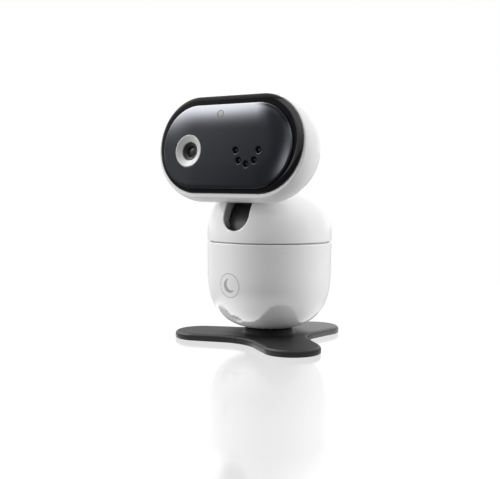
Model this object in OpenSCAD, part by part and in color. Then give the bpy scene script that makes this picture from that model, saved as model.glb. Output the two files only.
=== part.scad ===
// Baby monitor camera: star foot, cup-shaped base, turning dome, tilting head.
// Origin: on the floor, on the pan axis. +Z up, the head looks along -Y at rest.
// All lengths are in millimetres.

/* [Body] */
// Height of the seam between base and dome, above the floor
seam_z = 59; // [58.5:0.25:60]
// Outer radius of the white body at the seam
body_radius = 36.5; // [36.3:0.1:36.8]
// Height of the dome above the seam
dome_height = 34.9; // [34.6:0.1:35.1]
// Squareness of the dome's corner, 2 is an ellipse
dome_squareness = 2.6; // [2.5:0.05:2.7]
// Squareness of the cup's corner, 2 is an ellipse
cup_squareness = 2.87; // [2.85:0.01:2.9]
// Moulded wall thickness
wall = 2; // [1.8:0.1:2]
// Gap between the base and the turning dome
seam_gap = 0.7; // [0.5:0.1:0.9]
// Turn of the base's front about the pan axis, against the head
base_turn = -4.5; // [-10:0.5:10]

/* [Slot] */
// Half width of the slot the neck runs in
slot_half_width = 8.5; // [8.4:0.1:8.7]
// Height of the centre of the slot's lower round end, above the seam
slot_low = 15.5; // [15:0.25:15.5]
// Depth of the centre of the slot's rear round end, behind the pan axis
slot_rear = 8; // [8:0.5:10]

/* [Head] */
// Half length of the straight part of the head's outline
head_half_straight = 21.13; // [20.5:0.1:21.5]
// End radius of the black bezel
bezel_radius = 27.16; // [26.8:0.1:27.3]
// Distance from the pan axis forward to the bezel's centre
head_forward = 40.9; // [40.5:0.1:41.2]
// Height of the bezel's centre above the seam
head_up = 54.69; // [54.3:0.1:55]
// Upward tilt of the face at rest
head_tilt = 6.96; // [6:0.1:8]
// End radius of the white housing at its fullest section
housing_radius = 30.1; // [29.8:0.1:30.4]
// Depth of the housing behind its fullest section
housing_depth = 22.3; // [22:0.1:22.6]
// How far the housing's centre line sits below the bezel's
housing_drop = 1.1; // [0.9:0.1:1.2]

/* [Face] */
// Half width of the raised glossy front panel
panel_half_width = 43.3; // [43.2:0.1:43.5]
// Half height of the front panel
panel_half_height = 23.3; // [23.3:0.1:23.6]
// How far the panel's front stands in front of the bezel's outline
panel_stand = 4.6; // [4.4:0.1:4.8]
// Lens position across the face
lens_x = -24.4; // [-24.8:0.1:-24.2]
// Lens position up the face
lens_z = -3.9; // [-4.1:0.1:-3.5]
// Outer radius of the silver lens ring
lens_ring_radius = 9; // [8.8:0.1:9.2]
// Radius of the arc the infrared lights sit on
led_arc_radius = 7.5; // [7.2:0.1:7.8]

/* [Foot] */
// Distance from the pan axis to the centre of a leg's round end
leg_length = 40.9; // [39.4:0.5:42.4]
// Radius of a leg's round end
leg_radius = 16.2; // [15.5:0.1:17]
// Taper of the legs, in degrees
leg_taper = 2.4; // [1.6:0.2:4]
// Radius of the fillets between the legs
web_radius = 27; // [25:0.2:29]
// Thickness of the rubber foot
foot_thickness = 4.3; // [4:0.1:4.6]
// Turn of the star against the head
foot_turn = -8; // [-10:0.5:10]

/* [Gears] */
// Gear module
gear_module = 0.75; // [0.75]
// Teeth on each motor pinion
pinion_teeth = 12; // [12]
// Teeth on the tilt gear
tilt_teeth = 40; // [40]
// Teeth on the internal pan ring
ring_teeth = 72; // [72]

/* [Hidden] */
$fn = 64;
// Body, heights measured from the seam
rim_z = seam_gap / 2;
cup_radius = body_radius - 0.2;
cup_depth = 37.7;
cup_top = -13.6;                 // where the cup's lower curve starts
cup_floor_z = seam_z + cup_top - cup_depth;
board_z = -41.5;
plate_thickness = 1.5;           // board, chassis and turret plates
chassis_z = -38.7;
chassis_top = chassis_z + plate_thickness;
spindle_shoulder = chassis_z + 7.7;
spindle_top = chassis_z + 14.7;
frame_z = -30.5;
frame_top = frame_z + plate_thickness;
light_z = -43.7;                 // status light
controls_z = -45.5;              // rear controls
// Directions about the pan axis, from the base's front
light_angle = -2;
speaker_angle = -17;
switch_angle = 152;
button_angle = 208;
// Drives
axle_radius = 2;
pressure_angle = 20;
backlash = 0.09;                 // thinning of each tooth at the pitch circle
pan_distance = gear_module * (ring_teeth - pinion_teeth) / 2;
tilt_distance = gear_module * (tilt_teeth + pinion_teeth) / 2;
pan_motor_angle = 17.06;         // from +X
ear_reach = 12;                  // motor centre to an ear's screw
ear_thickness = 1.2;
shaft_radius = 1;
bracket_x = -16.5;               // mounting face of the tilt motor
cradle_inner = 9.3;              // faces of the cradle walls, from x = 0
cradle_outer = 11;
// Neck, lengths measured from the tilt axis
neck_angle = 54;                 // degrees above the front horizon
forward_swing = 28;
neck_half_width = 8.3;
neck_top = 45.4;
neck_plate = 1.8;
shield_radius = 30;
head_clearance = 39.3;           // sphere cut from the underside of the head
// Face, in the head frame
full_section_y = 8;              // depth of the housing's fullest section
panel_half_straight = panel_half_width - panel_half_height;
panel_z = -1.5;
lens_forward = panel_stand - 3;  // lens and lights come forward with the panel
sensor_x = -3.9;
sensor_z = 16.1;

board_green = [0.1, 0.35, 0.2];
motor_grey = [0.75, 0.75, 0.78];
gear_white = [0.93, 0.93, 0.9];
cable_black = [0.15, 0.15, 0.15];

// ---------- frames and places ----------
module at_seam(z = 0) translate([0, 0, seam_z + z]) children();
module in_base() rotate([0, 0, base_turn]) children();
// point on the cup's lower curve: local +Z is the outward normal
module on_cup(angle, z) rotate([0, 0, angle]) translate([0, -cup_curve_radius(z), seam_z + z])
  rotate([90 + cup_dip(z), 0, 0]) children();
// head: X across, +Y into the head, +Z up the face, origin at the bezel's centre
module in_head() translate([0, -head_forward, seam_z + head_up])
  rotate([-head_tilt, 0, 0]) children();
// tilt axis: +Z along the neck
module along_neck() at_seam() rotate([90 - neck_angle, 0, 0]) children();
module at_pan_motor(z) rotate([0, 0, pan_motor_angle])
  translate([pan_distance, 0, seam_z + z]) children();
module at_tilt_motor(x = 0) translate([x, 0, seam_z - tilt_distance]) children();

module around(angles, radius) for (a = angles) rotate([0, 0, a])
  translate([radius, 0, 0]) children();
module at_cup_bosses() around([30, 150, 210, 330], 25) children();
module at_turret_bosses() around([62, 118, 242, 298], 29) children();
module at_board_screws() around([20, 140, 222], 14.2) children();
module at_retainer_screws() around([0, 120, 240], 5.25) children();
module at_ears() for (side = [-1, 1]) translate([0, side * ear_reach, 0]) children();
module at_neck_screws(z) for (x = [-10, 10], y = [-5.5, 3]) translate([x, y, z]) children();
module at_head_bosses() for (p = [[36.9, 11], [-36.9, 11], [37.5, -13], [-37.5, -13]])
  translate([p[0], 0, p[1]]) children();
module at_lens() translate([lens_x, 0, lens_z]) children();
module at_leds() for (a = [180, 227, 270, 313, 0])
  translate([15.6 + led_arc_radius * cos(a), 0, -4.2 + led_arc_radius * sin(a)]) children();
module at_sensor() translate([sensor_x, 0, sensor_z]) children();

// ---------- basic shapes ----------
// box centred on X and Y, standing on height z
module centred_box(size, z) translate([-size[0] / 2, -size[1] / 2, z]) cube(size);
// rods and cones between two places along an axis
module rod_x(radius, from, to) translate([from, 0, 0]) rotate([0, 90, 0])
  cylinder(r = radius, h = to - from);
module cone_y(front_radius, back_radius, front, back) translate([0, front, 0])
  rotate([-90, 0, 0]) cylinder(r1 = front_radius, r2 = back_radius, h = back - front);
module rod_y(radius, front, back) translate([0, front, 0]) rotate([-90, 0, 0])
  cylinder(r = radius, h = back - front);
// one rod on each side of x = 0
module rod_pair_x(radius, near, far) {
  rod_x(radius, near, far);
  rod_x(radius, -far, -near);
}
// stadium solid: profile points are [radius, depth], depth runs along +Y
module stadium(profile, half_straight) {
  last = len(profile) - 1;
  for (k = [0, 1]) mirror([k, 0, 0]) translate([half_straight, 0, 0])
    rotate([-90, 0, 0]) rotate([0, 0, -90]) rotate_extrude(angle = 180) polygon(profile);
  rotate([90, 0, 90]) linear_extrude(height = 2 * half_straight, center = true)
    polygon(concat(
      [for (p = profile) [p[1], p[0]]],
      [for (i = [last : -1 : 0]) [profile[i][1], -profile[i][0]]]));
}
module flat_stadium(radius, front, back, half_straight)
  stadium([[0, front], [radius, front], [radius, back], [0, back]], half_straight);
// cross-headed screw: head above z = 0, shank below
module screw(shank_radius, length, head_radius, head_height) difference() {
  union() {
    cylinder(r = head_radius, h = head_height);
    translate([0, 0, -length]) cylinder(r = shank_radius, h = length + 0.1);
  }
  for (a = [0, 90]) rotate([0, 0, a])
    centred_box([head_radius * 1.2, 0.44, 1], head_height - 0.5);
}

// ---------- body shapes ----------
function squared_radius(radius, height, z, power) =
  radius * pow(1 - pow(min(abs(z) / height, 1), power), 1 / power);
function squared_point(radius, height, power, angle) =
  [radius * pow(cos(angle), 2 / power), height * pow(sin(angle), 2 / power)];
function cup_curve_radius(z) =
  squared_radius(cup_radius, cup_depth, z - cup_top, cup_squareness);
// slope of the cup's outward normal below the horizon
function cup_dip(z) = atan2(
  pow(abs(z - cup_top) / cup_depth, cup_squareness - 1) / cup_depth,
  pow(cup_curve_radius(z) / cup_radius, cup_squareness - 1) / cup_radius);

// dome inset by a wall, from height bottom up
module dome_solid(inset, bottom) {
  radius = body_radius - inset;
  height = dome_height - inset;
  at_seam() rotate_extrude() polygon(concat(
    [[0, bottom], [squared_radius(radius, height, bottom, dome_squareness), bottom]],
    [for (i = [1 : 26])
      let (p = squared_point(radius, height, dome_squareness, 90 * i / 27))
      if (p[1] > bottom + 0.05) p],
    [[0, height]]));
}
// cup inset by a wall, from height top down
module cup_solid(inset, top) {
  depth = cup_depth - inset;
  at_seam() rotate_extrude() polygon(concat(
    [[0, top], [body_radius - inset, top]],
    [for (i = [0 : 26])
      let (p = squared_point(cup_radius - inset, depth, cup_squareness, 90 * i / 27))
      [p[0], cup_top - p[1]]],
    [[0, cup_top - depth]]));
}
// head housing inset by a wall, cut flat at depth front
module housing(inset, front) {
  depth = housing_depth - inset;
  start = asin((front - full_section_y) / depth);
  profile = concat(
    [[0, full_section_y + depth * sin(start)]],
    [for (i = [0 : 22])
      let (angle = start + (90 - start) * i / 23)
      [(housing_radius - inset) * cos(angle), full_section_y + depth * sin(angle)]],
    [[0, full_section_y + depth]]);
  translate([0, 0, -housing_drop]) stadium(profile, head_half_straight + 0.27);
}
module seam_ball(radius) at_seam() sphere(r = radius);
// slot through the dome, widened all round by margin
module slot_prism(margin) {
  half_width = slot_half_width + margin;
  at_seam(slot_low) {
    translate([-half_width, -60, 0]) cube([2 * half_width, 60 + slot_rear, 60]);
    rod_y(half_width, -60, 0);
    translate([0, slot_rear, 0]) cylinder(r = half_width, h = 60);
  }
}

// ---------- gears and motors ----------
function involute(base, r) =
  r <= base ? 0 : (tan(acos(base / r)) * 180 / PI - acos(base / r));
function gear_points(teeth, addendum, dedendum, thinning) =
  let (
    pitch = gear_module * teeth / 2,
    base = pitch * cos(pressure_angle),
    tip = pitch + addendum,
    root = pitch - dedendum,
    flank = max(base, root + 0.01),
    half_tooth = 90 / teeth - thinning / (2 * pitch) * 180 / PI,
    pitch_involute = tan(pressure_angle) * 180 / PI - pressure_angle,
    radii = [root, flank, (pitch + max(base, root)) / 2, pitch, (pitch + tip) / 2, tip])
  [for (k = [0 : teeth - 1]) for (side = [-1, 1]) for (j = [0 : 5])
    let (
      r = side < 0 ? radii[j] : radii[5 - j],
      a = 360 * k / teeth + side * (half_tooth + pitch_involute - involute(base, r)))
    [r * cos(a), r * sin(a)]];

module pinion(height) linear_extrude(height = height) difference() {
  polygon(gear_points(pinion_teeth, 0.62, 0.85, backlash));
  circle(r = shaft_radius + 0.03);
}
// small motor, shaft hole along +Z, mounting face at z = 0, ears along Y
module motor(radius, height) difference() {
  union() {
    translate([0, 0, -height]) cylinder(r = radius, h = height - 0.2);
    centred_box([5.6, 2 * ear_reach, ear_thickness], -ear_thickness);
    at_ears() translate([0, 0, -ear_thickness]) cylinder(r = 2.8, h = ear_thickness);
    // block on the side of the can
    rotate([0, 0, 90]) translate([-radius * 0.45, -radius - 0.9, -height + 2])
      cube([radius * 0.9, 3, height - 4]);
  }
  translate([0, 0, -6.5]) cylinder(r = 1.1, h = 7);
  at_ears() translate([0, 0, -2]) cylinder(r = 1.15, h = 3);
}

// ---------- foot ----------
function arc_points(centre, radius, from, to, steps) =
  [for (j = [0 : steps])
    let (a = from + j * (to - from) / steps)
    [centre[0] + radius * cos(a), centre[1] + radius * sin(a)]];
// three-leg outline inset all round: round leg ends joined by fillets
function star_points(inset) =
  let (
    side_distance = leg_radius + leg_length * sin(leg_taper),
    web_distance = (web_radius + side_distance) / sin(60 + leg_taper))
  [for (a = [90, 210, 330]) each concat(
    arc_points(leg_length * [cos(a), sin(a)], leg_radius - inset,
      a - 90 + leg_taper, a + 90 - leg_taper, 20),
    arc_points(web_distance * [cos(a + 60), sin(a + 60)], web_radius + inset,
      a + 270 - leg_taper, a + 210 + leg_taper, 12))];

hub_radius = 14;
hub_z = 1.6;
// layers of the foot, stepped at the edges: [inset, bottom, height]
foot_layers = [
  [0.4, 0, 0.6],
  [0, 0.6, foot_thickness - 2.2],
  [0.4, foot_thickness - 1.6, 1],
  [1.3, foot_thickness - 0.6, 0.6]];

module foot_star() color([0.16, 0.16, 0.165]) rotate([0, 0, foot_turn]) difference() {
  union() for (layer = foot_layers)
    translate([0, 0, layer[1]]) linear_extrude(height = layer[2])
      polygon(star_points(layer[0]));
  translate([0, 0, hub_z]) cylinder(r = hub_radius + 0.05, h = 10);
}
module foot_hub() color([0.1, 0.1, 0.1]) difference() {
  translate([0, 0, hub_z]) cylinder(r = hub_radius, h = cup_floor_z - hub_z);
  translate([0, 0, 2]) cylinder(r = 2.02, h = 10);
}
module foot_screw() color("silver") translate([0, 0, cup_floor_z + wall + 0.1])
  screw(1.95, wall + 2.4, 3.6, 2);

// ---------- base ----------
// ring and crescent on the cup's front, between two insets
module emblem_layer(outer_inset, inner_inset) intersection() {
  difference() {
    cup_solid(outer_inset, -rim_z);
    cup_solid(inner_inset, -rim_z + 1);
  }
  translate([0, -20, seam_z - 23.8]) rotate([90, 0, 0]) union() {
    difference() {
      cylinder(r = 7, h = 30);
      translate([0, 0, -1]) cylinder(r = 6.55, h = 40);
    }
    difference() {
      cylinder(r = 4, h = 30);
      translate([1.7, 0.9, -1]) cylinder(r = 3.5, h = 40);
    }
  }
}
// socket outline: two round ends joined by a box
module socket_prism(radius, z, height) {
  for (x = [-3, 3]) translate([x, 0, z]) cylinder(r = radius, h = height);
  centred_box([6, 2 * radius, height], z);
}
module lower_shell() color([0.95, 0.95, 0.95]) in_base() difference() {
  union() {
    difference() {
      cup_solid(0, -rim_z);
      cup_solid(wall, 1);
    }
    // bosses, stopping just below the chassis
    intersection() {
      cup_solid(0.5, -rim_z);
      at_cup_bosses() cylinder(r = 3, h = seam_z + chassis_z - 0.05);
    }
  }
  at_seam(-44.4) at_cup_bosses() cylinder(r = 1.1, h = 20);
  translate([0, 0, -1]) cylinder(r = 2.3, h = 20);
  emblem_layer(-1, 0.3);
  // status light seat
  on_cup(light_angle, light_z) {
    translate([0, 0, -0.8]) cylinder(r = 3.1, h = 4);
    translate([0, 0, -8]) cylinder(r = 2.3, h = 10);
  }
  // sound slits
  for (i = [0 : 6]) rotate([0, 0, -10.5 - 2.1 * i])
    translate([-0.28, -36, seam_z - 43.6]) cube([0.56, 14, 5.1]);
  // rear openings
  on_cup(180, controls_z) socket_prism(1.75, -8, 12);
  on_cup(switch_angle, controls_z) centred_box([7.2, 2.7, 12], -8);
  on_cup(button_angle, controls_z) translate([0, 0, -8]) cylinder(r = 2.3, h = 12);
}
module emblem() color([0.62, 0.62, 0.63]) in_base() emblem_layer(0.02, 0.3);
module status_light() color([0.75, 0.78, 0.8]) in_base() on_cup(light_angle, light_z)
  translate([0, 0, -3.7]) {
    cylinder(r = 2.25, h = 2.8);
    cylinder(r = 2.8, h = 1.1);
  }
module speaker() color([0.2, 0.2, 0.2]) in_base() rotate([0, 0, speaker_angle])
  translate([0, -16.5, seam_z - 44.7]) rotate([135, 0, 0]) {
    translate([0, 0, -2.8]) difference() {
      cylinder(r = 5, h = 2.8);
      translate([0, 0, 1.9]) cylinder(r = 4.1, h = 2);
    }
    translate([0, 0, -1]) cylinder(r1 = 4, r2 = 2.4, h = 0.7);
  }
module microphone() color("silver") in_base() translate([-13.5, 3, seam_z - 43.1])
  difference() {
    cylinder(r = 2, h = 1.58);
    translate([0, 0, -1]) cylinder(r = 0.5, h = 1.4);
  }
module main_board() color(board_green) in_base() at_seam(board_z) {
  difference() {
    cylinder(r = 21, h = plate_thickness);
    // flats beside the speaker and at the rear
    rotate([0, 0, speaker_angle]) translate([-30, -45, -1]) cube([60, 30, 4]);
    translate([-30, 16.4, -1]) cube([60, 30, 4]);
    translate([0, 0, -1]) cylinder(r = 3.2, h = 4);
    translate([0, 0, -1]) at_board_screws() cylinder(r = 1.3, h = 4);
  }
  // square blocks under the board
  translate([-4, 6.5, -1.4]) cube([9, 9, 1.42]);
  translate([5.5, -8, -1.1]) cube([7, 7, 1.12]);
  translate([-14.5, -6, -0.9]) cube([5, 5, 0.92]);
}
module board_screws() color("silver") in_base() at_seam(board_z) at_board_screws()
  rotate([180, 0, 0]) screw(1, 3.6, 1.9, 1.1);
module wifi_antenna() color([0.75, 0.6, 0.25]) in_base()
  translate([8, 12, seam_z - 42.3]) cube([9, 3.2, 0.78]);
module power_socket() color("silver") in_base() on_cup(180, controls_z) {
  difference() {
    socket_prism(1.65, -6.4, 5.8);
    socket_prism(1.3, -5.6, 6);
  }
  centred_box([5.8, 0.7, 4.4], -5.7);
}
module control_switches() color([0.12, 0.12, 0.12]) in_base() {
  on_cup(switch_angle, controls_z) difference() {
    centred_box([8.4, 3.6, 2.4], -6.5);
    centred_box([5.2, 1.2, 3], -5.7);
  }
  on_cup(button_angle, controls_z) difference() {
    centred_box([5.2, 5.2, 2.2], -6.6);
    translate([0, 0, -5.6]) cylinder(r = 1.2, h = 3);
  }
}
module power_switch() color([0.1, 0.1, 0.1]) in_base() on_cup(switch_angle, controls_z) {
  translate([-3.4, -1.2, -2.7]) cube([3.6, 2.4, 3.4]);
  translate([-5, -1.2, -4]) cube([6.8, 2.4, 1.4]);
  translate([-2.1, -0.4, -5]) cube([1, 0.8, 1.1]);
}
module pair_button() color([0.85, 0.85, 0.86]) in_base() on_cup(button_angle, controls_z) {
  translate([0, 0, -2.6]) cylinder(r = 2.22, h = 3.1);
  translate([0, 0, -3.3]) cylinder(r = 2.5, h = 0.9);
  translate([0, 0, -4.6]) cylinder(r = 0.8, h = 1.5);
}

// ---------- pan bearing ----------
pan_hub_radius = 9.2;
spindle_radius = 6.5;
cable_bore = 4;

module chassis() color([0.75, 0.75, 0.76]) in_base() difference() {
  union() {
    at_seam(chassis_z) {
      cylinder(r = 29, h = plate_thickness);
      cylinder(r = pan_hub_radius, h = spindle_shoulder - chassis_z);
      cylinder(r = spindle_radius, h = spindle_top - chassis_z);
    }
    at_seam(-39.98) at_board_screws() cylinder(r = 2.2, h = 2);
  }
  at_seam(-45) cylinder(r = cable_bore, h = 30);
  at_seam(-45) at_cup_bosses() cylinder(r = 1.3, h = 12);
  at_seam(-41) at_board_screws() cylinder(r = 1.05, h = 3.4);
  at_seam(-28) at_retainer_screws() cylinder(r = 0.62, h = 6);
}
module chassis_screws() color("silver") in_base() at_seam(chassis_top) at_cup_bosses()
  screw(1.05, 7, 2, 1.3);
module pan_ring_gear() color([0.9, 0.9, 0.85]) rotate([0, 0, pan_motor_angle])
  difference() {
    at_seam(chassis_top) cylinder(r = 29.9, h = 4.7);
    at_seam(-38) linear_extrude(height = 8)
      polygon(gear_points(ring_teeth, 0.95, 0.6, -backlash));
    // clearance over the chassis screws
    at_seam(-38) rotate([0, 0, base_turn - pan_motor_angle]) at_cup_bosses()
      cylinder(r = 2.3, h = 2.4);
  }
module pan_washer() color([0.85, 0.85, 0.8]) at_seam(spindle_shoulder) difference() {
  cylinder(r = 9.1, h = 0.48);
  translate([0, 0, -1]) cylinder(r = spindle_radius + 0.1, h = 3);
}
retainer_thickness = 1.2;
module pan_retainer() color([0.7, 0.7, 0.7]) in_base() at_seam(spindle_top) difference() {
  cylinder(r = 8.8, h = retainer_thickness);
  translate([0, 0, -1]) cylinder(r = cable_bore, h = 3);
  translate([0, 0, -1]) at_retainer_screws() cylinder(r = 0.7, h = 3);
}
module retainer_screws() color("silver") in_base()
  at_seam(spindle_top + retainer_thickness) at_retainer_screws()
  screw(0.6, 4.6, 1.15, 0.8);
module base_cable() color(cable_black) {
  at_seam(-43) around([0, 90, 180, 270], 1.15) cylinder(r = 0.75, h = 23);
  at_seam() centred_box([6, 4, 1.6], -44.5);
}

// ---------- turret ----------
module upper_shell() color([0.96, 0.96, 0.96]) difference() {
  union() {
    difference() {
      dome_solid(0, rim_z);
      dome_solid(wall, 0);
      slot_prism(0);
      // rebate for the slot liner
      intersection() {
        dome_solid(0.95, 0);
        slot_prism(1.42);
      }
    }
    // skirt across the seam
    at_seam(-2.5) difference() {
      cylinder(r = 34.1, h = 3.5);
      translate([0, 0, -1]) cylinder(r = 32.9, h = 6);
    }
    intersection() {
      dome_solid(0.6, rim_z);
      at_seam() at_turret_bosses() cylinder(r = 3, h = 30);
    }
    at_seam(frame_top + 0.02) at_turret_bosses() cylinder(r = 3, h = 29.6);
  }
  at_seam(-30) at_turret_bosses() cylinder(r = 1.1, h = 9);
}
module slot_liner() color([0.08, 0.08, 0.085]) difference() {
  intersection() {
    dome_solid(0.97, rim_z);
    slot_prism(1.4);
  }
  slot_prism(0.02);
  // room for the slot shield
  at_seam() rod_x(shield_radius + 1.5, -20, 20);
  // relief for the neck at the end of its forward swing
  along_neck() rotate([forward_swing, 0, 0]) neck_bar(0.3, 20, 20);
  at_seam() centred_box([40, 120, 6.2], -1);
}
module turret_frame() color([0.82, 0.82, 0.84]) difference() {
  wall_z = frame_z + 1;
  union() {
    at_seam(frame_z) cylinder(r = 32.3, h = plate_thickness);
    at_seam(frame_z) cylinder(r = pan_hub_radius, h = 6.45);
    // cradle walls with round tops
    for (x = [cradle_inner, -cradle_outer]) translate([x, -7, seam_z + wall_z])
      cube([cradle_outer - cradle_inner, 14, -wall_z]);
    at_seam() rod_pair_x(7, cradle_inner, cradle_outer);
    // tilt motor bracket
    translate([bracket_x, -14.5, seam_z + wall_z]) cube([1.5, 29, 21]);
  }
  at_seam(-35) cylinder(r = spindle_radius + 0.05, h = 30);
  at_seam() rod_pair_x(3.25, cradle_inner - 1.15, cradle_outer + 1.15);
  at_seam(-32) at_turret_bosses() cylinder(r = 1.25, h = 6);
  at_pan_motor(-32) {
    cylinder(r = 3, h = 6);
    at_ears() cylinder(r = 1.05, h = 6);
  }
  at_tilt_motor() {
    rod_x(5.6, -20, -14);
    at_ears() rod_x(1.05, -20, -14);
  }
}
module turret_screws() color("silver") at_seam(frame_z) at_turret_bosses()
  rotate([180, 0, 0]) screw(1.05, 7.5, 2, 1.2);
module tilt_bushes() color([0.7, 0.55, 0.25]) at_seam() difference() {
  union() {
    rod_pair_x(3.2, cradle_inner, cradle_outer);
    rod_pair_x(4, 8.55, cradle_inner - 0.02);
  }
  rod_x(axle_radius + 0.05, -20, 20);
}
module pan_motor() color(motor_grey) at_pan_motor(frame_top)
  rotate([180, 0, 0]) rotate([0, 0, 0]) pan_turned() motor(9.6, 13.5);
// motor side blocks face along the local X axis
module pan_turned() children();
module tilt_motor() color(motor_grey) at_tilt_motor(bracket_x)
  rotate([0, 90, 0]) motor(8.4, 11.5);
module motor_screws() color("silver") {
  at_pan_motor(frame_top + ear_thickness) at_ears() screw(1, 2.6, 1.9, 1.1);
  at_tilt_motor(bracket_x - ear_thickness) at_ears() rotate([0, -90, 0])
    screw(1, 2.6, 1.9, 1.1);
}

// ---------- drive shafts and pinions ----------
module pan_shaft() color("silver") at_pan_motor(-35.6) cylinder(r = shaft_radius, h = 12.6);
module pan_pinion() color(gear_white) at_pan_motor(-35.5) pinion(3.6);
module tilt_shaft() color("silver") at_tilt_motor() rod_x(shaft_radius, -22.5, -11.3);
module tilt_pinion() color(gear_white) at_tilt_motor(-15.1)
  rotate([0, 90, 0]) rotate([0, 0, 180]) pinion(4);
module tilt_axle() color("silver") at_seam() rod_x(axle_radius, -14.6, 12.6);
module tilt_gear() color(gear_white) at_seam() difference() {
  union() {
    translate([-14.3, 0, 0]) rotate([0, 90, 0]) rotate([0, 0, 180 / tilt_teeth])
      linear_extrude(height = 2.7) polygon(gear_points(tilt_teeth, 0.6, 0.85, backlash));
    rod_x(4.5, -14.6, -11.15);
  }
  rod_x(axle_radius + 0.03, -20, 0);
  for (a = [0 : 60 : 300]) rotate([a, 0, 0]) translate([0, 9, 0]) rod_x(2.6, -20, 0);
}

// ---------- neck ----------
// the neck's section grown all round by gap
module neck_bar(gap, z, height) centred_box([12 + 2 * gap, 13 + 2 * gap, height], z);
module neck_arm() color([0.07, 0.07, 0.075]) along_neck() difference() {
  union() {
    neck_bar(0, 12, neck_top - 12);
    centred_box([8, 13, 13], 0);
    rod_x(6.5, -neck_half_width, neck_half_width);
    translate([-13, -9, neck_top - neck_plate]) cube([26, 15.5, neck_plate]);
  }
  rod_x(axle_radius + 0.03, -20, 20);
  // cable bore and the cross slot at its lower end
  translate([0, 0, 14]) cylinder(r = 2.2, h = 40);
  centred_box([20, 2, 4.4], 14);
  at_neck_screws(40) cylinder(r = 1.2, h = 10);
}
module slot_shield() color([0.09, 0.09, 0.095]) difference() {
  // arc from 35 degrees below the front horizon, over the top, to 144 degrees
  at_seam() rotate([90, 0, -90]) rotate([0, 0, -35]) translate([0, 0, -neck_half_width])
    rotate_extrude(angle = 179) translate([shield_radius, 0])
    square([1.2, 2 * neck_half_width]);
  along_neck() neck_bar(0.05, 20, 20);
}
module neck_screws() color("silver") along_neck() at_neck_screws(neck_top)
  screw(1, 4.6, 1.9, 1.1);
module head_cable() color(cable_black) along_neck() translate([0, 0, 15])
  around([0, 90, 180, 270], 1.05) cylinder(r = 0.7, h = 32);

// ---------- head ----------
module head_rear_shell() color([0.96, 0.96, 0.96]) difference() {
  union() {
    difference() {
      in_head() housing(0, 0);
      difference() {
        in_head() housing(wall, -0.6);
        seam_ball(head_clearance + wall);
      }
    }
    intersection() {
      in_head() housing(0.6, 0.7);
      in_head() at_head_bosses() rod_y(2.8, 1.05, 30);
    }
    along_neck() at_neck_screws(37) cylinder(r = 2.4, h = 6.58);
  }
  seam_ball(head_clearance);
  along_neck() neck_bar(0.1, 30, 13);
  along_neck() at_neck_screws(40.7) cylinder(r = 1.05, h = 5);
  in_head() at_head_bosses() rod_y(1.05, 0, 10);
}
// rounded front edge of the bezel: [radius, depth]
bezel_profile = [
  [0, -2.2], [bezel_radius - 2.2, -2.2], [bezel_radius - 1.2, -1.8],
  [bezel_radius - 0.5, -1.1], [bezel_radius - 0.1, -0.5], [bezel_radius, -0.02],
  [0, -0.02]];
module bezel() color([0.03, 0.03, 0.035]) in_head() difference() {
  union() {
    stadium(bezel_profile, head_half_straight);
    translate([0, 0, -0.6]) flat_stadium(24.7, -0.5, 3, head_half_straight);
  }
  // seat of the front panel
  translate([0, 0, panel_z])
    flat_stadium(panel_half_height + 0.05, -4, -1.38, panel_half_straight);
  // hollow behind the floor
  translate([0, 0, -0.6]) flat_stadium(22.7, 1, 8, head_half_straight);
  at_lens() rod_y(9.05, -6, 4);
  at_leds() rod_y(1.65, -4, 4);
  at_sensor() rod_y(2.05, -4, 4);
  // screw holes with recesses for the heads and the bosses
  at_head_bosses() {
    rod_y(1.2, -4, 4);
    rod_y(2.1, -4, -0.2);
    rod_y(3, 1.02, 9);
  }
}
module head_screws() color("silver") in_head() at_head_bosses() translate([0, -0.2, 0])
  rotate([90, 0, 0]) screw(1, 7, 1.95, 1.1);
// rounded front edge of the panel: [radius, depth]
panel_profile = [
  [0, -panel_stand], [panel_half_height - 1.1, -panel_stand],
  [panel_half_height - 0.45, 0.2 - panel_stand],
  [panel_half_height - 0.12, 0.6 - panel_stand],
  [panel_half_height, 1.1 - panel_stand], [panel_half_height, -1.4], [0, -1.4]];
module front_panel() color([0.05, 0.055, 0.07]) in_head() difference() {
  translate([0, 0, panel_z]) stadium(panel_profile, panel_half_straight);
  at_lens() rod_y(lens_ring_radius + 0.05, -6, 2);
  at_leds() {
    rod_y(1.6, -6, 2);
    cone_y(2.05, 1.6, -panel_stand - 0.01, -panel_stand + 0.5);
  }
  at_sensor() rod_y(2.05, -6, 2);
}

// ---------- lens and electronics ----------
module lens_ring() color([0.78, 0.78, 0.8]) in_head() at_lens() difference() {
  union() {
    rod_y(lens_ring_radius, -panel_stand - 0.25, -1.4);
    rod_y(8.9, -1.45, 1.4);
  }
  cone_y(8.5, 5.5, -panel_stand - 0.26, -1.6 - lens_forward);
  rod_y(5.25, -2 - lens_forward, 4);
}
module lens_barrel() color([0.05, 0.05, 0.05]) in_head() at_lens() difference() {
  union() {
    rod_y(5.2, -1.5 - lens_forward, 13.6);
    rod_y(6.6, 9.5, 13.6);
  }
  cone_y(4.6, 3.1, -1.51 - lens_forward, 0.4 - lens_forward);
  rod_y(3.05, 0.3 - lens_forward, 20);
}
module lens_glass() color([0.3, 0.35, 0.55, 0.6]) in_head() at_lens() intersection() {
  rod_y(3, 0.4 - lens_forward, 3.4 - lens_forward);
  translate([0, 5.6 - lens_forward, 0]) sphere(r = 5);
}
module filter_frame() color([0.12, 0.12, 0.12]) in_head() at_lens() difference() {
  translate([-4.8, 13.65, -5.2]) cube([16, 4, 10.4]);
  translate([-3.7, 15.1, -3.6]) cube([13.6, 1, 7.2]);
  rod_y(3, 10, 20);
}
module ir_filter() color([0.6, 0.3, 0.45]) in_head() at_lens()
  translate([-3.4, 15.25, -3.4]) cube([6.8, 0.7, 6.8]);
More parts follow.
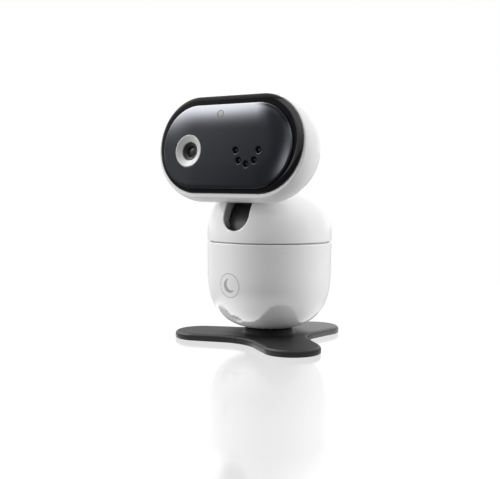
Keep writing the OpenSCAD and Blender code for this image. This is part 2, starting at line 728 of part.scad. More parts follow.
module sensor_board() color(board_green) in_head() at_lens() difference() {
  translate([-8.4, 18.4, -9.4]) cube([18, 1.4, 18.8]);
  for (p = [[-6.6, -7.6], [7.8, 7.6]]) translate([p[0], 0, p[1]]) rod_y(1.1, 15, 25);
}
module image_sensor() color([0.15, 0.15, 0.17]) in_head() at_lens()
  translate([-2.8, 17.7, -2.6]) cube([5.6, 0.68, 5.2]);
module led_board() color(board_green) in_head()
  translate([4.2, 1.9, -14.8]) cube([22.5, 1, 15]);
// round-nosed lights
module infrared_leds() color([0.75, 0.75, 0.8]) in_head() at_leds() {
  nose_y = -0.6 - lens_forward;
  rod_y(1.5, nose_y, 1.88);
  intersection() {
    translate([0, nose_y, 0]) sphere(r = 1.5);
    rod_y(1.5, nose_y - 1.6, nose_y);
  }
}
module light_sensor() color([0.4, 0.42, 0.46]) in_head() at_sensor()
  rod_y(2, 0.05 - panel_stand, 0.9);

foot_star();
foot_hub();
foot_screw();
lower_shell();
emblem();
status_light();
speaker();
microphone();
main_board();
board_screws();
wifi_antenna();
power_socket();
control_switches();
power_switch();
pair_button();
chassis();
chassis_screws();
pan_ring_gear();
pan_washer();
pan_retainer();
retainer_screws();
base_cable();
upper_shell();
slot_liner();
turret_frame();
turret_screws();
tilt_bushes();
pan_motor();
tilt_motor();
motor_screws();
pan_shaft();
pan_pinion();
tilt_shaft();
tilt_pinion();
neck_arm();
slot_shield();
tilt_axle();
tilt_gear();
neck_screws();
head_cable();
head_rear_shell();
bezel();
head_screws();
front_panel();
lens_ring();
lens_barrel();
lens_glass();
filter_frame();
ir_filter();
sensor_board();
image_sensor();
led_board();
infrared_leds();
light_sensor();
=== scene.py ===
"""Baby monitor camera: a wide head on a neck that tilts in a turning dome, over a cup and a foot.

World frame: +Z up through the turning axis, X across, the face looks to -Y and tips up a little.
Shapes are written in millimetres as signed distances (negative inside) and then meshed.
"""

import math
from functools import reduce

import bpy
import numpy as np
from mathutils import Matrix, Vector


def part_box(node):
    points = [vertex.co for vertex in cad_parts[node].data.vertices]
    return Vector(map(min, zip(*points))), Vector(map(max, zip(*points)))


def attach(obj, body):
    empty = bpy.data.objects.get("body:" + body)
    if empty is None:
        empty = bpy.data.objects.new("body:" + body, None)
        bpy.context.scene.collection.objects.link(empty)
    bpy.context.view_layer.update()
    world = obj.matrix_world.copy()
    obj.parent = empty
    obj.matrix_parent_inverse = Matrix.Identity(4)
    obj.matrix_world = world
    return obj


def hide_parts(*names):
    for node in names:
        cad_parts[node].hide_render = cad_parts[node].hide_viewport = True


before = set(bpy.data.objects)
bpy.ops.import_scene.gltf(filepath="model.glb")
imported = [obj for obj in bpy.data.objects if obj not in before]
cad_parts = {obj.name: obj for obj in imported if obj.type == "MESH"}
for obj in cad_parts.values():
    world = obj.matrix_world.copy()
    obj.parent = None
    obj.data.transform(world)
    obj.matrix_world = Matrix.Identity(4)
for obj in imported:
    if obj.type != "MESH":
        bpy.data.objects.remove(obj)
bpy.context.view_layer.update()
MM = 0.001


def box_mm(node):
    """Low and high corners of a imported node."""
    return [np.array(corner) * 1000 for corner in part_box(node)]


# ------------------------------------------------------------------ driving dimensions, in mm
# Body: cup below the seam, dome above it. The tilt axis lies at the seam's height.
GAP = 0.7                           # open seam between cup and dome
shell_high = box_mm("lower_shell")[1]
SEAM = shell_high[2] + GAP / 2
NOMINAL_R = 36.5
BODY_R = NOMINAL_R if abs(shell_high[0] - NOMINAL_R) < 0.2 else shell_high[0]
WALL = 2.0
DOME_H, DOME_POWER = 34.9, 2.6
CUP_R, CUP_DEPTH, CUP_POWER = BODY_R - 0.2, 37.7, 2.87
CUP_MID = -13.6                     # the cup's section is centred here, from the seam
CUP_RISE = -CUP_MID - GAP / 2       # from there up to the cup's rim
CUP_FLOOR = SEAM + CUP_MID - CUP_DEPTH
SLOT_HW, SLOT_LOW, SLOT_REAR = 8.5, 15.5, 8.0  # half width, low end over the seam, rear end's y
RIM_DEPTH = 0.95                    # white rim that covers the slot lining's edge

# Head: rounded outlines are stadiums, given by the half distance between end centres and a radius
HEAD_SPAN, BEZEL_R = 21.13, 27.16
BEZEL_FRONT, BEZEL_BACK = -2.2, 2.4
SKIRT_R, SKIRT_DROP = 24.7, 0.6     # bezel's inner skirt
HOUSE_R, HOUSE_DEPTH, HOUSE_DROP = 30.1, 22.3, 1.1
PANEL_HW, PANEL_HH, PANEL_Z, PANEL_RISE = 43.3, 23.3, -1.5, 4.6
PANEL_SPAN = PANEL_HW - PANEL_HH
CROWN_WIDTH, CROWN_FALL = 15.0, 0.95  # the panel falls off over this width, by this depth
LENS, LENS_RING_R = (-24.4, -3.9), 9.0  # places on the face are (x, z) in the head frame
SENSOR = (-3.9, 16.1)
LED_MID, LED_RING_R = (15.6, -4.2), 7.5
BOSSES = ((36.9, 11.0), (-36.9, 11.0), (37.5, -13), (-37.5, -13))
NECK_BOLTS = [(x, y) for x in (-10, 10) for y in (-5.5, 3)]  # in the neck frame
CLEAR_R = 39.3                      # ball round the tilt axis that the head keeps clear of

# Angles, in degrees
BASE_TURN, FOOT_TURN, SLIT_TURN = -4.5, -8.0, -16.8
TILT = 6.96                         # face tipped up
NECK_LEAN, NECK_LEAN_MAX = 54.0, 118

LIGHT_Z, CONTROL_Z = -43.7, -45.5   # on the cup, from the seam


def polar(radius, degrees, centre=(0, 0)):
    angle = math.radians(degrees)
    return centre[0] + radius * math.cos(angle), centre[1] + radius * math.sin(angle)


LEDS = [polar(LED_RING_R, degrees, LED_MID) for degrees in (180, 227, 270, 313, 0)]


# ------------------------------------------------------------------ frames: (rotation, origin)
def rot(about, degrees):
    return np.array(Matrix.Rotation(math.radians(degrees), 3, about), float)


def nest(outer, inner):
    return outer[0] @ inner[0], outer[0] @ inner[1] + outer[1]


def into(frame, x, y, z):
    """Outer coordinates as the frame's own."""
    turn, origin = frame
    offset = (x - origin[0], y - origin[1], z - origin[2])
    return tuple(sum(turn[k, i] * offset[k] for k in range(3)) for i in range(3))


def spun(x, y, degrees):
    angle = math.radians(degrees)
    cosine, sine = math.cos(angle), math.sin(angle)
    return cosine * x - sine * y, sine * x + cosine * y


# radius, depth, height of centre
BEZEL_SECTION = (
    (BEZEL_R, -0.02, 0), (27.06, -0.5, 0), (26.66, -1.1, 0), (25.96, -1.8, 0),
    (24.96, BEZEL_FRONT, 0), (SKIRT_R, BEZEL_BACK, -SKIRT_DROP),
)


def head_origin():
    """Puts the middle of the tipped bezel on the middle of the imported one."""
    low, high = box_mm("bezel")
    section = np.array([
        spun(depth, up, -TILT)
        for radius, depth, centre in BEZEL_SECTION
        for up in (centre + radius, centre - radius)
    ])
    middle = (section.min(0) + section.max(0)) / 2
    return (low + high) / 2 - np.array([0, *middle])


WORLD = (np.eye(3), np.zeros(3))
BASE = (rot("Z", BASE_TURN), np.zeros(3))
AXIS_POINT = np.array([0, 0, SEAM])
NECK = (rot("X", 90 - NECK_LEAN), AXIS_POINT)          # +Z up the neck
HEAD = (rot("X", -TILT), head_origin())                # +Y into the head, +Z up the face
NECK_IN_HEAD = (HEAD[0].T @ NECK[0], HEAD[0].T @ (NECK[1] - HEAD[1]))
BALL = into(HEAD, 0.0, 0.0, SEAM)


def on_face(place):
    """Frame at a place on the face, +Z pointing out of it."""
    return nest(HEAD, (rot("X", 90), np.array([place[0], 0, place[1]])))


def on_cup(turn, height):
    """Frame of a point on the cup, in the base's frame: +Z is the outward normal."""
    up = abs(height - CUP_MID) / CUP_DEPTH
    radius = CUP_R * (1 - min(up, 1) ** CUP_POWER) ** (1 / CUP_POWER)
    slope = CUP_POWER - 1
    dip = math.degrees(math.atan2(up ** slope / CUP_DEPTH, (radius / CUP_R) ** slope / CUP_R))
    about = rot("Z", turn)
    return about @ rot("X", 90 + dip), about @ np.array([0, -radius, SEAM + height])


LIGHT = on_cup(-2, LIGHT_Z)
PORT, SWITCH, KEY = (on_cup(turn, CONTROL_Z) for turn in (180, 152, 208))


# ------------------------------------------------------------------ implicit shapes
UNBOUND = -9.0  # distance that puts no limit on a shape


def both(*shapes):
    """Sharp intersection."""
    return reduce(np.maximum, shapes)


def either(*shapes):
    """Sharp union."""
    return reduce(np.minimum, shapes)


def meet(one, other, radius=0.0):
    """Intersection whose edge is rounded."""
    if radius <= 0:
        return np.maximum(one, other)
    inner = np.minimum(np.maximum(one, other), -radius)
    return inner + np.hypot(np.maximum(one + radius, 0), np.maximum(other + radius, 0))


def merge(one, other, radius):
    """Union with a filleted corner."""
    return -meet(-one, -other, radius)


def cut(body, tool, radius=0.0):
    return meet(body, -tool, radius)


def away(x, y, place):
    return np.hypot(x - place[0], y - place[1])


def slab(z, low, high):
    return np.maximum(low - z, z - high)


def stadium(x, z, span, radius):
    return np.hypot(np.maximum(np.abs(x) - span, 0), z) - radius


def rounded_box(x, y, half_x, half_y, radius):
    over_x, over_y = np.abs(x) - half_x + radius, np.abs(y) - half_y + radius
    outside = np.hypot(np.maximum(over_x, 0), np.maximum(over_y, 0))
    return outside + np.minimum(np.maximum(over_x, over_y), 0) - radius


def post(distance, radius, bore, bored=True):
    """Round post, hollow where bored is true."""
    return both(distance - radius, np.where(bored, bore - distance, UNBOUND))


def superellipse(rho, z, radius, height, power):
    """Distance to a superellipse section, near its surface."""
    rho, z = np.maximum(rho, 1e-6), np.maximum(z, 0)
    across, up = rho / radius, z / height
    level = (across ** power + up ** power + 1e-12) ** (1 / power)
    slope_r = (across / level) ** (power - 1) / radius
    slope_z = (up / level) ** (power - 1) / height
    return (level - 1) / np.sqrt(slope_r * slope_r + slope_z * slope_z + 1e-12)


def ellipse(rho, z, radius, height):
    across, up = rho / radius, z / height
    level = np.sqrt(across * across + up * up + 1e-12)
    return (level - 1) * level / np.sqrt((across / radius) ** 2 + (up / height) ** 2 + 1e-12)


def dome(x, y, z, inset=0.0):
    return superellipse(np.hypot(x, y), z - SEAM, BODY_R - inset, DOME_H - inset, DOME_POWER)


def cup(x, y, z, inset=0.0):
    """The cup widens to the body's radius at its rim."""
    up = z - SEAM - CUP_MID
    radius = CUP_R - inset + (BODY_R - CUP_R) * np.clip(up, 0, CUP_RISE) / CUP_RISE
    return superellipse(np.hypot(x, y), -up, radius, CUP_DEPTH - inset, CUP_POWER)


def slot(x, y, z, half_width):
    """Neck slot: open to the front, with round ends at the front below and at the rear above."""
    across = np.hypot(x, np.maximum(y - SLOT_REAR, 0))
    return np.hypot(across, np.minimum(z - SEAM - SLOT_LOW, 0)) - half_width


def panel_outline(x, z, grow=0.0):
    return stadium(x, z - PANEL_Z, PANEL_SPAN, PANEL_HH + grow)


def panel_front(outline):
    """Depth of the crowned panel face."""
    inward = np.clip(1 + outline / CROWN_WIDTH, 0, 1.05)
    return -PANEL_RISE + CROWN_FALL * inward ** 2.6


# ------------------------------------------------------------------ meshing
def axis(low, high, step, *fine):
    """Grid stations; fine holds (from, to, step) where the grid is denser."""
    stations = [low]
    while stations[-1] < high:
        size = step * 1.0
        for start, end, fine_step in fine:
            if start - 1e-9 <= stations[-1] < end:
                size = min(size, fine_step * (1.0))
        stations.append(stations[-1] + size)
    return np.array(stations)


def surface_nets(shape, *grid):
    """Dual mesh of shape = 0 on a rectilinear grid: points and outward-facing quads."""
    field = shape(*np.meshgrid(*grid, indexing="ij"))
    cells = tuple(count - 1 for count in field.shape)
    size = cells[0] * cells[1] * cells[2]
    total, hits = np.zeros((size, 3)), np.zeros(size)
    quads = []
    for a in range(3):
        b, c = (a + 1) % 3, (a + 2) % 3
        start = field.take(range(cells[a]), a)
        end = field.take(range(1, cells[a] + 1), a)
        crossed = (start < 0) != (end < 0)
        index = np.argwhere(crossed)
        start, end = start[crossed], end[crossed]
        points = np.stack([grid[k][index[:, k]] for k in range(3)], 1)
        spacing = grid[a][index[:, a] + 1] - grid[a][index[:, a]]
        points[:, a] += start / (start - end) * spacing
        inside = (index[:, b] > 0) & (index[:, c] > 0)
        inside &= (index[:, b] < cells[b]) & (index[:, c] < cells[c])
        index, points, start = index[inside], points[inside], start[inside]
        corners = []
        for step_b, step_c in ((-1, -1), (0, -1), (0, 0), (-1, 0)):
            cell = index.copy()
            cell[:, b] += step_b
            cell[:, c] += step_c
            flat = (cell[:, 0] * cells[1] + cell[:, 1]) * cells[2] + cell[:, 2]
            corners.append(flat)
            for k in range(3):
                total[:, k] += np.bincount(flat, points[:, k], size)
            hits += np.bincount(flat, minlength=size)
        quad = np.stack(corners, 1)
        quad[start >= 0] = quad[start >= 0][:, ::-1]
        quads.append(quad)
    used = np.flatnonzero(hits > 0)
    number = np.full(size, -1, np.int64)
    number[used] = np.arange(len(used))
    return total[used] / hits[used][:, None], number[np.concatenate(quads)]


def gradient(shape, points, reach):
    return np.stack([
        shape(*(points + step).T) - shape(*(points - step).T) for step in reach * np.eye(3)
    ], 1) / (2 * reach)


def settle(shape, points):
    """Draws the points onto the surface, at most 0.35 mm a round."""
    for _ in range(5):
        slope = gradient(shape, points, 0.02)
        value = shape(*points.T)
        step = (value / np.maximum((slope * slope).sum(1), 0.05))[:, None] * slope
        length = np.linalg.norm(step, axis=1, keepdims=True)
        points = points - step * np.minimum(1, 0.35 / np.maximum(length, 1e-9))
    return points


def link(name, mesh):
    obj = bpy.data.objects.new(name, mesh)
    bpy.context.scene.collection.objects.link(obj)
    return obj


def mesh_object(name, points, faces, normals, frame=WORLD):
    turn, origin = frame
    points = points @ turn.T + origin
    normals = normals @ turn.T
    normals = normals / np.maximum(np.linalg.norm(normals, axis=1, keepdims=True), 1e-9)
    mesh = bpy.data.meshes.new(name)
    mesh.from_pydata((points * MM).tolist(), [], faces)
    mesh.polygons.foreach_set("use_smooth", np.ones(len(mesh.polygons), bool))
    mesh.update()
    mesh.normals_split_custom_set_from_vertices(normals.tolist())
    return link(name, mesh)


def solid(name, shape, xs, ys, zs, frame=WORLD):
    points, quads = surface_nets(shape, xs, ys, zs)
    points = settle(shape, points)
    return mesh_object(name, points, quads.tolist(), gradient(shape, points, 0.03), frame)


def filleted(corners):
    """Points and normals of a section of (r, z, fillet) corners, its outside on the right."""
    section = []
    count = len(corners)
    for i in range(count):
        before, corner, after = (
            np.array(corners[(i + k) % count][:2], float) for k in (-1, 0, 1)
        )
        back, ahead = before - corner, after - corner
        back_length, ahead_length = np.linalg.norm(back), np.linalg.norm(ahead)
        back, ahead = back / back_length, ahead / ahead_length
        normal_in, normal_out = np.array([-back[1], back[0]]), np.array([ahead[1], -ahead[0]])
        half = math.acos(max(-1, min(1, float(back @ ahead)))) / 2
        fillet = corners[i][2]
        cutback = fillet / math.tan(half) if fillet > 0 and half < math.pi / 2 - 1e-3 else 0
        cutback = min(cutback, back_length * 0.499, ahead_length * 0.499)
        if cutback <= 1e-6 or corner[0] < 1e-6:
            section += [(corner, normal_in), (corner, normal_out)]
            continue
        start, end = corner + back * cutback, corner + ahead * cutback
        steps = 7
        for k in range(steps + 1):
            t = k / steps
            point = (1 - t) ** 2 * start + 2 * t * (1 - t) * corner + t * t * end
            normal = (1 - t) * normal_in + t * normal_out
            section.append((point, normal / np.linalg.norm(normal)))
    return section


def lathe(corners, segments):
    """Turned solid about +Z. Corners run from the axis to the axis, or round a ring."""
    section = filleted(corners)
    closed = not any(point[0] < 1e-6 for point, _ in section)
    angles = 2 * math.pi * np.arange(segments) / segments
    circle = list(zip(np.cos(angles), np.sin(angles)))
    points, normals, rows, faces = [], [], [], []
    for (rho, z), (out, up) in section:
        if rho < 1e-6:
            rows.append([len(points)])
            points.append((0, 0, z))
            normals.append((0, 0, up if abs(up) > 0.3 else 1))
        else:
            rows.append(list(range(len(points), len(points) + segments)))
            points += [(rho * c, rho * s, z) for c, s in circle]
            normals += [(out * c, out * s, up) for c, s in circle]
    for i in range(len(rows) if closed else len(rows) - 1):
        following = (i + 1) % len(rows)
        low, high = rows[i], rows[following]
        if np.linalg.norm(section[i][0] - section[following][0]) < 1e-7:
            continue
        for k in range(segments):
            j = (k + 1) % segments
            if len(low) == 1:
                faces.append((low[0], high[j], high[k]))
            elif len(high) == 1:
                faces.append((low[k], low[j], high[0]))
            else:
                faces.append((low[k], low[j], high[j], high[k]))
    return np.array(points, float), faces, np.array(normals, float)


def copies(part, frames):
    """One part repeated at each frame, as a single mesh."""
    points, faces, normals = part
    return (
        np.concatenate([points @ turn.T + origin for turn, origin in frames]),
        [tuple(i + k * len(points) for i in face) for k in range(len(frames)) for face in faces],
        np.concatenate([normals @ turn.T for turn, _ in frames]),
    )


def vertices_mm(obj):
    return np.array([vertex.co for vertex in obj.data.vertices]) / MM


def store(obj, name, values):
    attribute = obj.data.attributes.new(name, "FLOAT", "POINT")
    attribute.data.foreach_set("value", values.astype(np.float32))


def coat(obj, mat):
    obj.data.materials.clear()
    obj.data.materials.append(mat)


def piece(obj, body, slot_name, *nodes, mat=None):
    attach(obj, body)
    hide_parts(*nodes)
    coat(obj, MATS[mat or slot_name])


# ------------------------------------------------------------------ shader graphs
class Graph:
    """Short words for making shader nodes in an emptied tree."""

    def __init__(self, owner):
        owner.use_nodes = True
        self.tree = owner.node_tree
        self.tree.nodes.clear()

    def new(self, kind):
        return self.tree.nodes.new(kind)

    def put(self, node, key, value):
        if isinstance(value, bpy.types.NodeSocket):
            self.tree.links.new(value, node.inputs[key])
        else:
            node.inputs[key].default_value = value

    def node(self, kind, **inputs):
        node = self.new(kind)
        for key, value in inputs.items():
            self.put(node, key.replace("_", " "), value)
        return node

    def source(self, kind, output):
        return self.new(kind).outputs[output]

    def operate(self, kind, operation, values, output):
        node = self.new(kind)
        node.operation = operation
        for i, value in enumerate(values):
            self.put(node, i, value)
        return node.outputs[output]

    def math(self, operation, *values):
        return self.operate("ShaderNodeMath", operation, values, 0)

    def vector(self, operation, *values):
        return self.operate("ShaderNodeVectorMath", operation, values, "Value")

    def times(self, *factors):
        return reduce(lambda one, other: self.math("MULTIPLY", one, other), factors)

    def plus(self, *terms):
        return reduce(lambda one, other: self.math("ADD", one, other), terms)

    def inverse(self, value):
        return self.math("SUBTRACT", 1.0, value)

    def either(self, flag, when, otherwise):
        return self.plus(self.times(flag, when), self.times(self.inverse(flag), otherwise))

    def ramp(self, value, start, end, low=0.0, high=1.0, kind="SMOOTHSTEP"):
        node = self.new("ShaderNodeMapRange")
        node.interpolation_type = kind
        for i, setting in enumerate((value, start, end, low, high)):
            self.put(node, i, setting)
        return node.outputs[0]

    def bell(self, value, middle, width):
        scaled = self.math("DIVIDE", self.math("SUBTRACT", value, middle), width)
        return self.math("EXPONENT", self.times(scaled, scaled, -1.0))

    def noise(self, place, scale, detail, rough):
        return self.node("ShaderNodeTexNoise", Scale=scale, Detail=detail, Roughness=rough,
                         Vector=place).outputs["Fac"]

    def mix(self, factor, one, other):
        node = self.new("ShaderNodeMix")
        node.data_type = "RGBA"
        for i, value in ((0, factor), (6, one), (7, other)):
            self.put(node, i, value)
        return node.outputs[2]

    def attribute(self, name):
        node = self.new("ShaderNodeAttribute")
        node.attribute_name = name
        return node.outputs["Fac"]

    def normal_z(self):
        normal = self.source("ShaderNodeNewGeometry", "Normal")
        return self.node("ShaderNodeSeparateXYZ", Vector=normal).outputs[2]

    def bearing(self, direction):
        """Degrees round from the camera, positive to its right."""
        turn = math.radians(34.06)
        right = self.vector("DOT_PRODUCT", direction, (math.cos(turn), math.sin(turn), 0))
        near = self.vector("DOT_PRODUCT", direction, (math.sin(turn), -math.cos(turn), 0))
        return self.times(self.math("ARCTAN2", right, near), 180 / math.pi)

    def elevation(self, direction):
        """Degrees above the horizon."""
        up = self.vector("DOT_PRODUCT", direction, (0, 0, 1))
        return self.times(self.math("ARCSINE", up), 180 / math.pi)


def rgba(colour, gain=1.0):
    return tuple(min(1, part * gain) for part in colour) + (1.0,)


def flagged(net):
    """Painted shade on the reflection of the softbox on the left, as if a flag stood in front of
    it: this finish shows little of it.
    """
    mirrored = net.source("ShaderNodeTexCoord", "Reflection")
    bearing, elevation = net.bearing(mirrored), net.elevation(mirrored)
    flag = net.times(
        net.ramp(bearing, start=-58, end=-70),
        net.ramp(bearing, start=-170, end=-140),
        net.ramp(elevation, start=8, end=20),
    )
    strength = 0.965
    return net.inverse(net.times(flag, strength))


# the face panel's shine attribute: painted shade on its reflection
def stored_painted_shade(net):
    return net.attribute("shine")


def painted_sheen_and_shade(net):
    """Painted light on the rubber's shine: a painted highlight on the leg to the camera's far right
    and along the rounded rims, and painted shade that keeps the shine low near the hub.
    """
    place = net.source("ShaderNodeTexCoord", "Object")  # metres
    right = net.vector("DOT_PRODUCT", place, (0.8284, 0.5601, 0))
    far = net.vector("DOT_PRODUCT", place, (-0.5601, 0.8284, 0))
    leg = net.times(net.ramp(right, start=0.010, end=0.026), net.ramp(far, start=-0.004, end=0.010))
    up = net.normal_z()
    rim = net.times(net.ramp(up, start=0.985, end=0.9), net.ramp(up, start=0.25, end=0.6))
    outer = net.ramp(net.vector("LENGTH", place), start=0.018, end=0.030)
    # painted shade: shine kept low at the centre and gained outwards; shine of plain rubber, and
    # painted highlights on the leg and rims
    inner, gained, plain, on_leg, on_rim = 0.25, 0.75, 0.11, 0.98, 0.32
    sheen_and_painted_highlight = net.plus(plain, net.plus(net.times(leg, on_leg), net.times(rim, on_rim)))
    return net.times(net.plus(inner, net.times(outer, gained)), sheen_and_painted_highlight)


def material(name, colour, rough, drift, rough_drift, blotch, grain, bump, bump_mm, edge, edge_mm,
             metallic=0.0, ior=1.5, transmission=0.0, round_mm=0.0, streak=False, spec=0.5,
             dust=0.0, finish=None, tint=None, second=None):
    """Principled finish with colour and roughness drift, grain bump and rubbed edges."""
    mat = bpy.data.materials.new(name)
    net = Graph(mat)
    out = net.new("ShaderNodeOutputMaterial")
    shader = net.new("ShaderNodeBsdfPrincipled")
    net.put(out, 0, shader.outputs[0])
    place = net.source("ShaderNodeTexCoord", "Object")
    grain_place = place
    if streak:
        mapping = net.node("ShaderNodeMapping", Vector=place)
        mapping.inputs["Scale"].default_value = (1, 1, 30)
        grain_place = mapping.outputs[0]
    broad = net.noise(place, scale=blotch, detail=3.0, rough=0.55)
    mid = net.noise(place, scale=blotch * 6, detail=4.0, rough=0.6)
    fine = net.noise(grain_place, scale=grain, detail=2.0, rough=0.5)

    # weights of the noises in the colour and in the roughness
    blend = net.plus(net.times(broad, 0.7), net.times(mid, 0.3))
    shade = net.mix(net.ramp(blend, start=0.3, end=0.7),
                    rgba(colour, 1 - drift), rgba(colour, 1 + drift))
    uneven = net.plus(net.times(mid, 0.6), net.times(fine, 0.4))
    roughness = net.plus(rough - rough_drift, net.times(uneven, 2 * rough_drift))
    if second is not None:
        shade = net.mix(net.attribute("second"), shade, rgba(second))

    rounded = None
    if edge > 0:
        bevel = net.node("ShaderNodeBevel", Radius=max(edge_mm, round_mm) * MM)
        bevel.samples = 4
        normal = net.source("ShaderNodeNewGeometry", "Normal")
        bend = net.vector("DOT_PRODUCT", bevel.outputs[0], normal)
        patchy = net.ramp(mid, start=0.38, end=0.66, low=0.25, high=1.0)
        wear = net.times(net.ramp(bend, start=0.985, end=0.86), patchy, edge)
        lift = 1.25 if sum(colour) > 1.2 else 2.6  # rubbed edges are paler, dark ones more so
        shade = net.mix(wear, shade, rgba([part * lift + 0.01 for part in colour]))
        wear_rough = 0.18
        roughness = net.plus(roughness, net.times(wear, wear_rough))
        if round_mm > 0:
            rounded = bevel.outputs[0]
    if dust > 0:
        settled = net.times(net.ramp(net.normal_z(), start=0.3, end=1.0),
                            net.times(net.ramp(mid, start=0.4, end=0.75), dust))
        dust_grey, dust_rough = (0.5, 0.5, 0.5), 0.3
        shade = net.mix(settled, shade, rgba(dust_grey))
        roughness = net.plus(roughness, net.times(settled, dust_rough))
    # the finish hook scales the specular level; for the foot, the face panel and the bezel it
    # paints light and shade this way
    if finish is not None:
        spec = net.times(finish(net), spec)

    smoothest = 0.02
    inputs = {
        "Base Color": shade,
        "Roughness": net.math("MAXIMUM", roughness, smoothest),
        "Metallic": metallic,
        "IOR": ior,
        "Specular IOR Level": spec,
        "Coat Roughness": 0.04,
        "Transmission Weight": transmission,
    }
    if tint is not None:
        inputs["Specular Tint"] = rgba(tint)[:0] + tint + (1.0,)
    if bump > 0:
        relief = net.node("ShaderNodeBump", Strength=bump, Distance=bump_mm * MM, Height=fine)
        if rounded is not None:
            net.put(relief, "Normal", rounded)
        inputs["Normal"] = relief.outputs[0]
    for key, value in inputs.items():
        net.put(shader, key, value)
    return mat


# colour | roughness, colour drift, roughness drift | blotch and grain noise scales |
# bump strength, bump mm | edge wear, edge mm
FINISHES = {
    "white_gloss": ((0.86, 0.86, 0.862), 0.14, 0.012, 0.025, 30, 900, 0.05, 0.004, 0.12, 0.3),
    "foot_rubber": ((0.026, 0.026, 0.027), 0.46, 0.08, 0.06, 90, 3800, 0.35, 0.02, 0.3, 0.4),
    "black_gloss": ((0.009, 0.009, 0.010), 0.07, 0.15, 0.02, 40, 700, 0.03, 0.003, 0.15, 0.2),
    "panel_gloss": ((0.012, 0.0127, 0.0165), 0.07, 0.1, 0.015, 25, 500, 0.02, 0.002, 0.1, 0.2),
    "black_plastic": ((0.022, 0.022, 0.023), 0.42, 0.12, 0.06, 80, 4200, 0.3, 0.012, 0.3, 0.3),
    "steel": ((0.62, 0.62, 0.63), 0.28, 0.06, 0.07, 120, 5000, 0.12, 0.006, 0.3, 0.15),
    "print_grey": ((0.42, 0.42, 0.43), 0.32, 0.05, 0.05, 200, 5000, 0.1, 0.004, 0.0, 0.25),
    "light_pipe": ((0.78, 0.8, 0.82), 0.22, 0.03, 0.05, 200, 4000, 0.08, 0.004, 0.1, 0.2),
    "speaker_black": ((0.05, 0.05, 0.05), 0.6, 0.12, 0.08, 150, 4500, 0.4, 0.02, 0.2, 0.2),
    "circuit_board": ((0.03, 0.16, 0.08), 0.35, 0.12, 0.08, 260, 3000, 0.2, 0.01, 0.3, 0.12),
    "antenna_gold": ((0.75, 0.58, 0.28), 0.3, 0.06, 0.06, 200, 4500, 0.1, 0.005, 0.2, 0.1),
    "cable_black": ((0.03, 0.03, 0.03), 0.45, 0.1, 0.06, 200, 4500, 0.2, 0.01, 0.15, 0.1),
    "frame_grey": ((0.55, 0.55, 0.57), 0.48, 0.05, 0.06, 60, 3500, 0.25, 0.012, 0.25, 0.3),
    "gear_white": ((0.85, 0.84, 0.8), 0.36, 0.03, 0.05, 90, 3500, 0.12, 0.006, 0.2, 0.12),
    "bush_brass": ((0.7, 0.52, 0.24), 0.36, 0.08, 0.08, 150, 5000, 0.15, 0.006, 0.3, 0.15),
    "key_grey": ((0.68, 0.68, 0.69), 0.5, 0.04, 0.05, 150, 5000, 0.2, 0.008, 0.2, 0.15),
    "ring_silver": ((0.56, 0.56, 0.56), 0.55, 0.04, 0.05, 150, 5500, 0.12, 0.005, 0.2, 0.12),
    "lens_glass": ((0.12, 0.12, 0.135), 0.06, 0.04, 0.01, 300, 800, 0.0, 0.0, 0.0, 0.25),
    "filter_glass": ((0.6, 0.3, 0.4), 0.04, 0.06, 0.02, 300, 800, 0.0, 0.0, 0.1, 0.1),
    "sensor_chip": ((0.06, 0.06, 0.08), 0.25, 0.1, 0.05, 300, 4000, 0.1, 0.004, 0.2, 0.1),
    "led_clear": ((0.012, 0.010, 0.012), 0.22, 0.06, 0.03, 300, 3000, 0.03, 0.002, 0.1, 0.1),
    "slot_lining": ((0.022, 0.022, 0.023), 0.42, 0.12, 0.06, 80, 4200, 0.2, 0.01, 0.2, 0.3),
    "dark_window": ((0.032, 0.034, 0.042), 0.14, 0.06, 0.02, 300, 3000, 0.03, 0.002, 0.0, 0.25),
}
# settings that only some finishes have
EXTRAS = {
    "white_gloss": dict(dust=0.02),
    # the foot's hook paints a highlight on its far right leg and rims, and shade near the hub
    "foot_rubber": dict(dust=0.01, finish=painted_sheen_and_shade),
    # the bezel's hook paints shade on its reflection of the softbox
    "black_gloss": dict(ior=1.52, finish=flagged),
    # the panel's hook carries painted shade on its reflection
    "panel_gloss": dict(ior=1.85, tint=(0.93, 0.96, 1.04), finish=stored_painted_shade),
    "black_plastic": dict(round_mm=0.3),
    "steel": dict(metallic=1.0, round_mm=0.12, streak=True),
    "light_pipe": dict(transmission=0.35, ior=1.49),
    "antenna_gold": dict(metallic=1.0),
    "frame_grey": dict(round_mm=0.2),
    "bush_brass": dict(metallic=1.0),
    "ring_silver": dict(metallic=0.15, spec=0.3),
    "lens_glass": dict(ior=1.3, transmission=0.6),
    "filter_glass": dict(transmission=0.8),
    "sensor_chip": dict(ior=1.7),
    "led_clear": dict(ior=1.4, spec=0.2),
    "slot_lining": dict(second=(0.62, 0.62, 0.625)),
    "dark_window": dict(ior=1.8),
}
MATS = {
    name: material(name, *numbers, **EXTRAS.get(name, {})) for name, numbers in FINISHES.items()
}

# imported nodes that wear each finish
CARRIED = {
    "steel": "foot_screw microphone board_screws power_socket chassis_screws pan_retainer"
             " retainer_screws turret_screws pan_motor tilt_motor motor_screws pan_shaft"
             " tilt_shaft tilt_axle neck_screws head_screws",
    "speaker_black": "speaker",
    "circuit_board": "main_board sensor_board led_board",
    "antenna_gold": "wifi_antenna",
    "black_plastic": "control_switches power_switch slot_shield filter_frame",
    "frame_grey": "chassis turret_frame",
    "gear_white": "pan_ring_gear pan_washer pan_pinion tilt_pinion tilt_gear",
    "cable_black": "base_cable head_cable",
    "bush_brass": "tilt_bushes",
    "filter_glass": "ir_filter",
    "sensor_chip": "image_sensor",
}
NODE_SLOT = {node: finish for finish, nodes in CARRIED.items() for node in nodes.split()}


# ------------------------------------------------------------------ foot
LEG_LENGTH, LEG_R, WEB_R = 40.9, 16.2, 27.0  # centre of the tip's arc, its radius, inner fillet
LEG_TAPER = math.radians(2.4)


